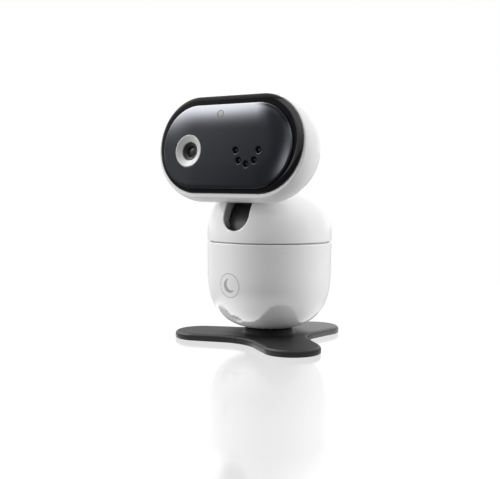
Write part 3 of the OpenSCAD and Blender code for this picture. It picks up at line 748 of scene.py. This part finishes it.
def star(x, y):
    """Distance to the three-leg outline."""
    third = math.radians(60)
    cosine, sine = math.cos(LEG_TAPER), math.sin(LEG_TAPER)
    reach = LEG_R + LEG_LENGTH * sine
    web_away = (WEB_R + reach) / math.sin(third + LEG_TAPER)
    rho, angle = np.hypot(x, y), np.arctan2(y, x) - math.pi / 2
    angle = np.abs((angle + math.pi / 3) % (2 * math.pi / 3) - math.pi / 3)
    out, side = rho * np.cos(angle), rho * np.sin(angle)
    along = -cosine * out + sine * side
    tip = np.hypot(out - LEG_LENGTH, side) - LEG_R
    flank = sine * out + cosine * side - reach
    web = WEB_R - np.hypot(out - web_away * 0.5, side - web_away * math.sin(third))
    leg = np.where(along < -cosine * LEG_LENGTH, tip, flank)
    return np.where(along > -web_away * math.cos(third + LEG_TAPER), web, leg)


def foot_shape(x, y, z):
    rho = np.hypot(x, y)
    # the leg tops fall a little towards their ends
    top = 4.3 - 0.2 * np.clip((rho - 20) / 36, 0, 1) ** 2
    outline = star(x, y)
    hub = meet(rho - 14, z - CUP_FLOOR, 0.6)
    body = merge(meet(outline, z - top, 2.0), hub, 2.6)
    body = meet(body, -z, 0.5)
    # shallow channel round the underside
    return cut(body, meet(np.abs(outline + 4.2) - 0.9, z - 0.35, 0.1), 0.12)


foot_grid = axis(-58.2, 58.2, 0.6)
foot = solid("foot", foot_shape, foot_grid, foot_grid, axis(-0.31, 8.3, 0.3),
             (rot("Z", FOOT_TURN), np.zeros(3)))
piece(foot, "stand", "foot_rubber", "foot_star", "foot_hub")


# ------------------------------------------------------------------ base shell
SLIT_COUNT, SLIT_FIRST, SLIT_PITCH = 7, 10.5, 2.1  # degrees round the base
SLIT_Z, SLIT_HALF, SLIT_R = SEAM - 41.05, 2.27, 0.28


def base_shape(x, y, z):
    """In the base's own frame turned so that the sound slits face -Y."""
    outside = cup(x, y, z)
    body = meet(outside, z - (SEAM - GAP / 2), 0.55)
    body = cut(body, cup(x, y, z, WALL), 0.3)
    base_x, base_y = spun(x, y, SLIT_TURN)
    for degrees in (30, 150, 210, 330):
        distance = away(base_x, base_y, polar(25, degrees))
        pillar = both(post(distance, 3, 1.1), outside + 0.5, z - (SEAM - 38.75))
        body = either(body, pillar)
    screw_hole = both(np.hypot(x, y) - 2.3, z - 12)
    body = cut(body, screw_hole)
    across, up, out = into(LIGHT, base_x, base_y, z)
    light_seat = meet(np.hypot(across, up) - 3.1, -0.8 - out, 0.25)
    body = cut(body, light_seat, 0.3)
    for place, outline, edge in (
        (LIGHT, lambda x, y: np.hypot(x, y) - 2.3, 0),
        (PORT, lambda x, y: stadium(x, y, 3, 1.75), 0.3),
        (SWITCH, lambda x, y: rounded_box(x, y, 3.6, 1.35, 0.45), 0.3),
        (KEY, lambda x, y: np.hypot(x, y) - 2.3, 0.3),
    ):
        across, up, out = into(place, base_x, base_y, z)
        body = cut(body, both(outline(across, up), -8 - out), edge)
    for i in range(SLIT_COUNT):
        side, depth = spun(x, y, SLIT_FIRST + SLIT_PITCH * i + SLIT_TURN)
        slit = np.hypot(side, np.maximum(np.abs(z - SLIT_Z) - SLIT_HALF, 0)) - SLIT_R
        body = cut(body, both(slit, slab(depth, -40, -22)), 0.06)
    return body


base = solid(
    "base_shell", base_shape,
    axis(-37.1, 37.1, 0.52, (-4.7, 4.7, 0.115)),
    axis(-37.1, 37.1, 0.52),
    axis(7.1, SEAM + 0.3, 0.5, (SEAM - 44.1, SEAM - 38.1, 0.25), (SEAM - 1.9, SEAM + 0.3, 0.17)),
    nest(BASE, (rot("Z", SLIT_TURN), np.zeros(3))),
)
piece(base, "stand", "white_gloss", "lower_shell")


# ------------------------------------------------------------------ small parts of the base
def mark_shape(x, y, z):
    """A plain ring with a moon, printed on the front of the cup."""
    up = z - (SEAM - 23.8)
    rho = np.hypot(x, up)
    ring = np.abs(rho - 6.775) - 0.225
    moon = both(rho - 4, 3.5 - away(x, up, (1.7, 0.9)))
    skin = slab(cup(x, y, z), -0.25, 0.05)
    return both(meet(skin, either(ring, moon), 0.03), y + 25)


mark = solid("printed_mark", mark_shape, axis(-7.3, 7.3, 0.14), axis(-36.8, -33.9, 0.1),
             axis(SEAM - 31.1, SEAM - 16.5, 0.14), BASE)
piece(mark, "stand", "print_grey", "emblem")

# turned sections here and below: radius, height, fillet
STATUS_LENS = (
    (0, -3.7, 0), (2.8, -3.7, 0.1), (2.8, -2.6, 0.1), (2.22, -2.6, 0.1), (2.22, -1.05, 0.3),
    (1.2, -0.8, 0.6), (0, -0.74, 0),
)
status_lens = mesh_object("status_lens", *lathe(STATUS_LENS, 64), nest(BASE, LIGHT))
piece(status_lens, "stand", "light_pipe", "status_light")

KEY_CAP = (
    (0, -4.6, 0), (0.8, -4.6, 0.1), (0.8, -3.3, 0.05), (2.5, -3.3, 0.1), (2.5, -2.4, 0.1),
    (2.2, -2.4, 0.05), (2.2, 0.42, 0.35), (1.2, 0.33, 0.4), (0, 0.24, 0),
)
key_cap = mesh_object("pair_key_cap", *lathe(KEY_CAP, 64), nest(BASE, KEY))
piece(key_cap, "pair_key", "key_grey", "pair_button")


# ------------------------------------------------------------------ turning dome
def dome_shape(x, y, z):
    outside = dome(x, y, z)
    body = meet(outside, SEAM + GAP / 2 - z, 0.55)
    body = cut(body, meet(dome(x, y, z, WALL), SEAM - 1 - z), 0.2)
    skirt = both(np.abs(np.hypot(x, y) - 33.5) - 0.6, slab(z, SEAM - 2.5, SEAM + 1.0))
    body = either(body, skirt)
    for degrees in (62, 118, 242, 298):
        distance = away(x, y, polar(29, degrees))
        body = either(body, both(
            post(distance, 3, 1.1, z < SEAM - 21),
            SEAM - 28.98 - z,
            np.where(z > SEAM, outside + 0.6, UNBOUND),
        ))
    body = cut(body, slot(x, y, z, SLOT_HW + 0.02), 0.62)
    lining_seat = both(slot(x, y, z, SLOT_HW + 1.45), outside + RIM_DEPTH)
    return cut(body, lining_seat, 0.1)


shell = solid(
    "dome_shell", dome_shape,
    axis(-37.1, 37.1, 0.52, (-10.6, -7.6, 0.26), (7.6, 10.6, 0.26)),
    axis(-37.1, 37.1, 0.52),
    axis(SEAM - 29.4, SEAM + 35.3, 0.52, (SEAM - 0.4, SEAM + 1.6, 0.2),
         (SEAM + 5, SEAM + 35.3, 0.4)),
)
piece(shell, "turret", "white_gloss", "upper_shell")


def lining_shape(x, y, z):
    body = meet(slot(x, y, z, SLOT_HW + 1.4), dome(x, y, z, RIM_DEPTH + 0.03), 0.15)
    body = cut(body, slot(x, y, z, SLOT_HW + 0.04), 0.25)
    body = meet(body, 31.5 - np.hypot(y, z - SEAM), 0.2)
    # relief for the neck at the end of its forward swing
    swung = (rot("X", NECK_LEAN_MAX - NECK_LEAN), AXIS_POINT)
    neck_x, neck_y, neck_z = into(swung, x, y, z)
    relief = both(np.abs(neck_x) - 6.3, np.abs(neck_y) - 6.8, slab(neck_z, 20, 40))
    return both(cut(body, relief, 0.2), SEAM + 5.2 - z)


lining = solid("slot_lining", lining_shape, axis(-10.3, 10.3, 0.26), axis(-36.9, 18.3, 0.4),
               axis(SEAM + 4.8, SEAM + 35.2, 0.4))
# the side cheeks take the second, pale colour
store(lining, "second", np.clip((np.abs(vertices_mm(lining)[:, 0]) - 4.5) / 3.5, 0, 1))
piece(lining, "turret", "black_plastic", "slot_liner", mat="slot_lining")


# ------------------------------------------------------------------ head shell
def house(x, y, z, inset=0.0):
    rho = np.hypot(np.maximum(np.abs(x) - HEAD_SPAN - 0.27, 0), z + HOUSE_DROP)
    return ellipse(rho, y - 8, HOUSE_R - inset, HOUSE_DEPTH - inset)


def head_shape(x, y, z):
    ball = np.sqrt((x - BALL[0]) ** 2 + (y - BALL[1]) ** 2 + (z - BALL[2]) ** 2)
    outside = house(x, y, z)
    body = cut(outside, meet(house(x, y, z, WALL), CLEAR_R + WALL - ball, 1.0))
    neck_x, neck_y, neck_z = into(NECK_IN_HEAD, x, y, z)
    for boss in BOSSES:
        pillar = post(away(x, z, boss), 2.8, 1.05, y < 10)
        body = either(body, both(pillar, 1.05 - y, outside + 0.6))
    for bolt in NECK_BOLTS:
        pillar = post(away(neck_x, neck_y, bolt), 2.4, 1.05, neck_z > 40.7)
        body = either(body, both(pillar, slab(neck_z, 37, 43.58)))
    body = meet(body, CLEAR_R - ball, 0.9)
    body = meet(body, -y, 0.5)
    neck_hole = both(rounded_box(neck_x, neck_y, 6.1, 6.6, 1.2), slab(neck_z, 30, 43))
    return cut(body, neck_hole, 0.3)


head = solid("head_shell", head_shape, axis(-52.2, 52.2, 0.55),
             axis(-0.5, 31, 0.5, (-0.5, 1.5, 0.2)), axis(-31.8, 29.6, 0.5), HEAD)
piece(head, "head", "white_gloss", "head_rear_shell")


# ------------------------------------------------------------------ bezel and face panel
def bezel_shape(x, y, z):
    body = meet(stadium(x, z, HEAD_SPAN, BEZEL_R), (BEZEL_FRONT - y) * 1.6, 3.4)
    body = both(body, y + 0.02)
    skirt = both(stadium(x, z + SKIRT_DROP, HEAD_SPAN, SKIRT_R), slab(y, -1.1, BEZEL_BACK))
    body = either(body, skirt)
    panel_seat = both(panel_outline(x, z, 0.12), y + 1.38)
    body = cut(body, panel_seat, 0.22)
    hollow = both(stadium(x, z + SKIRT_DROP, HEAD_SPAN, SKIRT_R - 2), 0.4 - y)
    body = cut(body, hollow)
    for place, radius in ((LENS, 9.05), *((led, 1.65) for led in LEDS), (SENSOR, 2.05)):
        body = cut(body, away(x, z, place) - radius)
    for boss in BOSSES:
        distance = away(x, z, boss)
        # screw hole, wider in front and wider still round the boss behind
        body = cut(body, either(distance - 1.2, both(distance - 2.1, y + 0.2),
                                both(distance - 3, 1.02 - y)))
    return body


bezel = solid("bezel_ring", bezel_shape, axis(-48.8, 48.8, 0.4), axis(-2.45, 2.75, 0.18),
              axis(-27.7, 27.6, 0.4), HEAD)
piece(bezel, "head", "black_gloss", "bezel")


def panel_shape(x, y, z):
    outline = panel_outline(x, z)
    body = meet(outline, panel_front(outline) - y, 0.75)
    body = both(body, y + 1.4)
    body = cut(body, away(x, z, LENS) - LENS_RING_R - 0.06, 0.12)
    for led in LEDS:
        distance = away(x, z, led)
        countersink = (distance - 2.05 + (y + PANEL_RISE - 0.02) * 0.9) * 0.743
        body = cut(body, either(distance - 1.6, countersink), 0.08)
    return cut(body, away(x, z, SENSOR) - 2.05, 0.06)


def panel_painted_shade(obj):
    """Painted shade on the panel's reflection, in the LED countersinks and where the upper right
    rim turns from the softbox.
    """
    x, _, z = ((vertices_mm(obj) - HEAD[1]) @ HEAD[0]).T
    nearest = np.min([away(x, z, led) for led in LEDS], axis=0)
    shine = 1 - 0.8 * np.clip((2.35 - nearest) / 0.25, 0, 1)
    rim = np.clip((panel_outline(x, z) + 2.4) / 1.2, 0, 1)
    right, upper = np.clip((x - 18) / 8, 0, 1), np.clip((z - 5) / 6, 0, 1)
    return shine * (1 - 0.88 * rim * right * upper)


panel = solid(
    "face_window", panel_shape,
    axis(-43.9, 43.9, 0.42, (5.6, 25.7, 0.2), (-34.3, -32.5, 0.25), (-16.2, -14.4, 0.25)),
    axis(-4.85, -1.2, 0.14),
    axis(-25.4, 22.5, 0.42, (-14.3, -1.7, 0.2)),
    HEAD,
)
# painted shade on the panel's reflection: in the LED countersinks and at the upper right rim
store(panel, "shine", panel_painted_shade(panel))
piece(panel, "head", "panel_gloss", "front_panel")

# ------------------------------------------------------------------ lens, LEDs, light sensor
DISH_TOP = PANEL_RISE + 0.22
LENS_DISH = (
    (5.25, -1.4, 0.05), (8.9, -1.4, 0.1), (8.9, 1.4, 0.05), (LENS_RING_R, 1.4, 0.05),
    (LENS_RING_R, DISH_TOP, 0.22), (8.45, DISH_TOP, 0.12), (5.45, PANEL_RISE - 1.25, 0.25),
    (5.25, PANEL_RISE - 1.5, 0.1),
)
LENS_TUBE = (
    (3.05, -13.6, 0.1), (6.6, -13.6, 0.2), (6.6, -9.5, 0.2), (5.2, -9.5, 0.2), (5.2, 3.05, 0.12),
    (4.75, 3.05, 0.12), (4.55, 2.55, 0.08), (4.25, 2.55, 0.06), (4.1, 2.1, 0.06),
    (3.75, 2.1, 0.06), (3.6, 1.7, 0.06), (3.3, 1.7, 0.06), (3.15, 1.2, 0.08), (3.05, 1.2, 0.02),
)
GLASS_R, GLASS_SPHERE_R, GLASS_ARC = 2.98, 5.07, 36


def glass_corner(degrees):
    """A corner of the domed front, by angle from the lens axis."""
    angle, end = math.radians(degrees), math.radians(GLASS_ARC)
    return (GLASS_R * math.sin(angle) / math.sin(end),
            0.25 + GLASS_SPHERE_R * (math.cos(angle) - math.cos(end)),
            0.3 if 0 < degrees < GLASS_ARC else 0)


FRONT_GLASS = [(0, -1.7, 0), (GLASS_R, -1.7, 0.1)]
FRONT_GLASS += [glass_corner(degrees) for degrees in range(GLASS_ARC, -1, -6)]

for name, section, segments, finish, node in (
    ("lens_dish", LENS_DISH, 128, "ring_silver", "lens_ring"),
    ("lens_tube", LENS_TUBE, 128, "black_plastic", "lens_barrel"),
    ("front_element", FRONT_GLASS, 96, "lens_glass", "lens_glass"),
):
    part = mesh_object(name, *lathe(section, segments), on_face(LENS))
    piece(part, "head", finish, node)

LED_BODY = (
    (0, -1.88, 0), (1.5, -1.88, 0.1), (1.5, 2.15, 0.2), (1.3, 2.95, 0.5), (0.8, 3.45, 0.5),
    (0, 3.65, 0),
)
lamps = mesh_object("night_lamps", *copies(lathe(LED_BODY, 48), [on_face(led) for led in LEDS]))
piece(lamps, "head", "led_clear", "infrared_leds")


def sensor_shape(x, y, z):
    """A short rod whose face follows the crown of the panel round it."""
    front = panel_front(panel_outline(x, z)) + 0.03
    return meet(both(away(x, z, SENSOR) - 1.98, y - 0.9), front - y, 0.06)


sensor = solid("dusk_window", sensor_shape, axis(SENSOR[0] - 2.3, SENSOR[0] + 2.3, 0.12),
               axis(-4.9, 1.3, 0.12), axis(SENSOR[1] - 2.3, SENSOR[1] + 2.3, 0.12), HEAD)
piece(sensor, "head", "light_pipe", "light_sensor", mat="dark_window")


# ------------------------------------------------------------------ neck
def neck_shape(x, y, z):
    stem = meet(rounded_box(x, y, 6, 6.5, 1.4), slab(z, 12, 45.4), 0.4)
    barrel = meet(np.hypot(y, z) - 6.5, np.abs(x) - 8.3, 0.5)
    web = both(np.abs(x) - 4, np.abs(y) - 6.5, slab(z, 0, 13))
    flange = meet(rounded_box(x, y + 1.25, 13, 7.75, 2.0), slab(z, 43.6, 45.4), 0.3)
    body = merge(merge(merge(stem, barrel, 0.3), web, 0.3), flange, 0.4)
    axle_hole = np.hypot(y, z) - 2.03
    long_bore = both(np.hypot(x, y) - 2.2, 14 - z)
    cross_slot = both(np.abs(x) - 10, np.abs(y) - 1, slab(z, 14, 18.4))
    body = cut(cut(cut(body, axle_hole, 0.1), long_bore, 0.3), cross_slot)
    for bolt in NECK_BOLTS:
        body = cut(body, both(away(x, y, bolt) - 1.2, 40 - z))
    return body


neck = solid("neck", neck_shape, axis(-13.6, 13.6, 0.4), axis(-9.6, 7.1, 0.4),
             axis(-7, 46, 0.4), NECK)
piece(neck, "head", "black_plastic", "neck_arm")

# ------------------------------------------------------------------ carried-over nodes
for name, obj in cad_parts.items():
    if obj.hide_render:
        continue
    coat(obj, MATS[NODE_SLOT[name]])
for name, width in (("power_switch", 0.22), ("power_socket", 0.1), ("slot_shield", 0.2)):
    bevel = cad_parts[name].modifiers.new("soft_edges", "BEVEL")
    bevel.width = width * MM
    bevel.segments = 3
    bevel.limit_method = "ANGLE"
    bevel.angle_limit = math.radians(40)


# ------------------------------------------------------------------ floor
# glow seen by the camera; soft glow in front and at the sides; mirror share; glow mirrored close by
FLOOR_SEEN, FLOOR_FRONT, FLOOR_SIDE, FLOOR_MIRROR, FLOOR_NEAR = 1.0, 0.2, 0.58, 0.28, 4.6
# glow mirrored all round, and added to the camera's right and at the left rear
GLOSS_ALL, GLOSS_RIGHT, GLOSS_LEFT = 0.07, 0.5, 0.6


def floor_material():
    """The camera sees it white; it glows less towards the object, least in front."""
    mat = bpy.data.materials.new("floor_white")
    net = Graph(mat)
    out = net.new("ShaderNodeOutputMaterial")
    path = net.new("ShaderNodeLightPath").outputs
    glow = net.node("ShaderNodeEmission", Color=(1, 1, 1, 1))
    bearing = net.bearing(net.source("ShaderNodeTexCoord", "Object"))
    sideways = net.ramp(net.math("ABSOLUTE", bearing), start=10, end=32)
    soft = net.plus(FLOOR_FRONT, net.times(sideways, FLOOR_SIDE - FLOOR_FRONT))
    right = net.times(net.ramp(bearing, start=40, end=100), GLOSS_RIGHT)
    left = net.times(net.ramp(bearing, start=-110, end=-140), GLOSS_LEFT)
    # gloss close above it mirrors the bright floor just outside the legs
    close = net.ramp(path["Ray Length"], start=0.085, end=0.012, kind="LINEAR")
    near = net.ramp(bearing, start=55, end=0, low=FLOOR_NEAR * 0.3, high=FLOOR_NEAR)
    shine = net.plus(net.plus(GLOSS_ALL, net.plus(right, left)), net.times(close, near))
    unseen = net.either(path["Is Glossy Ray"], shine, soft)
    net.put(glow, "Strength", net.either(path["Is Camera Ray"], FLOOR_SEEN, unseen))

    mirror = net.node("ShaderNodeBsdfGlossy", Color=(1, 1, 1, 1), Roughness=0.11)
    mirror.distribution = "GGX"
    distance = net.vector("LENGTH", net.source("ShaderNodeTexCoord", "Object"))
    share = net.ramp(distance, start=0.42, end=0.2, low=0.0, high=FLOOR_MIRROR)
    mix = net.node("ShaderNodeMixShader", Fac=net.times(path["Is Camera Ray"], share))
    net.put(mix, 1, glow.outputs[0])
    net.put(mix, 2, mirror.outputs[0])
    net.put(out, 0, mix.outputs[0])
    mat.cycles.emission_sampling = "NONE"
    return mat


def build_floor():
    """A disc, in metres."""
    sides, radius = 96, 6.0
    turns = [2 * math.pi * i / sides for i in range(sides)]
    rim = [(radius * math.cos(turn), radius * math.sin(turn), 0) for turn in turns]
    mesh = bpy.data.meshes.new("floor")
    faces = [(0, i + 1, (i + 1) % sides + 1) for i in range(sides)]
    mesh.from_pydata([(0, 0, 0)] + rim, [], faces)
    obj = link("floor", mesh)
    mesh.materials.append(floor_material())


# ------------------------------------------------------------------ world
# soft light: even part, side panels with their bearing and width, rear, overhead
SKY_DARK, SKY_STRIP, SKY_MID, SKY_WIDE, SKY_BACK, SKY_TOP = 0.15, 5.95, 83.5, 15.6, 0.32, 0.46
# mirrored light: softbox and small card; ceiling from its base up; dark left front; rear
SKY_BOX, SKY_CARD = 7.9, 1.7
CEILING_BASE, CEILING_LOW, CEILING_HIGH, LEFT_DARK, REAR_SHINE = 0.12, 0.4, 0.9, 0.86, 0.65
# softbox falloff: powers of its edge and its rise, and the light at its foot
BOX_EDGE_POWER, BOX_RISE_POWER, BOX_FOOT = 1.5, 3.1, 0.031


def build_world():
    world = bpy.data.worlds.new("studio")
    bpy.context.scene.world = world
    net = Graph(world)
    out = net.new("ShaderNodeOutputWorld")
    direction = net.source("ShaderNodeTexCoord", "Generated")
    bearing, elevation = net.bearing(direction), net.elevation(direction)
    sideways = net.math("ABSOLUTE", bearing)

    # on matt surfaces: tall panels at both sides, a dim front, some light from behind and above
    soft = net.plus(
        SKY_DARK,
        net.times(net.bell(sideways, SKY_MID, SKY_WIDE), net.ramp(elevation, start=80, end=40),
                  SKY_STRIP),
        net.times(net.ramp(sideways, start=100, end=140), SKY_BACK),
        net.times(net.ramp(elevation, start=35, end=75), SKY_TOP),
    )

    # what gloss shows: a pale ceiling, a dark left front, and a bright softbox above it
    ceiling = net.plus(
        CEILING_BASE,
        net.times(net.ramp(elevation, start=-25, end=0), CEILING_LOW),
        net.times(net.ramp(elevation, start=5, end=42), CEILING_HIGH),
    )
    hole = net.times(
        net.ramp(bearing, start=-50, end=-60),
        net.ramp(bearing, start=-125, end=-105),
        net.ramp(elevation, start=33, end=24),
    )
    ceiling = net.times(ceiling, net.inverse(net.times(hole, LEFT_DARK)))
    rear = net.times(net.ramp(sideways, start=105, end=135), REAR_SHINE)
    edge = net.math("POWER", net.ramp(bearing, start=-65, end=-77), BOX_EDGE_POWER)
    rise = net.math("POWER", net.ramp(elevation, start=7, end=27), BOX_RISE_POWER)
    softbox = net.times(edge, net.plus(rise, BOX_FOOT),
                        net.times(net.ramp(bearing, start=-140, end=-115), SKY_BOX))
    card = net.times(net.bell(bearing, middle=-53, width=5),
                     net.bell(elevation, middle=8, width=6), SKY_CARD)
    shine = net.plus(ceiling, rear, net.plus(softbox, card))

    path = net.new("ShaderNodeLightPath").outputs
    light = net.either(path["Is Glossy Ray"], shine, soft)
    camera_ray = path["Is Camera Ray"]
    seen = net.plus(camera_ray, net.times(net.inverse(camera_ray), light))
    background = net.node("ShaderNodeBackground", Color=(1, 1, 1, 1), Strength=seen)
    net.put(out, 0, background.outputs[0])


# ------------------------------------------------------------------ camera
CAMERA_PLACE = (0.2889, -0.4273, (SEAM + 32.91) * MM)
CAMERA_FORWARD = (-0.577239, 0.814143, -0.062859)
CAMERA_RIGHT = (0.815498, 0.57871, 0.006587)


def build_camera():
    data = bpy.data.cameras.new("camera")
    camera = link("camera", data)
    data.sensor_fit = "HORIZONTAL"
    data.sensor_width = 36
    data.lens = 63.15
    data.clip_start, data.clip_end = 0.01, 50
    forward = np.array(CAMERA_FORWARD)
    forward /= np.linalg.norm(forward)
    right = np.array(CAMERA_RIGHT)
    right -= forward * (right @ forward)
    right /= np.linalg.norm(right)
    columns = [right, np.cross(right, forward), -forward, CAMERA_PLACE]
    camera.matrix_world = Matrix(np.stack(columns, 1).tolist() + [[0, 0, 0, 1]])
    bpy.context.scene.camera = camera


build_floor()
build_world()
build_camera()
view = bpy.context.scene.view_settings
view.view_transform = "Standard"
view.look = "None"
view.exposure = 0
view.gamma = 1
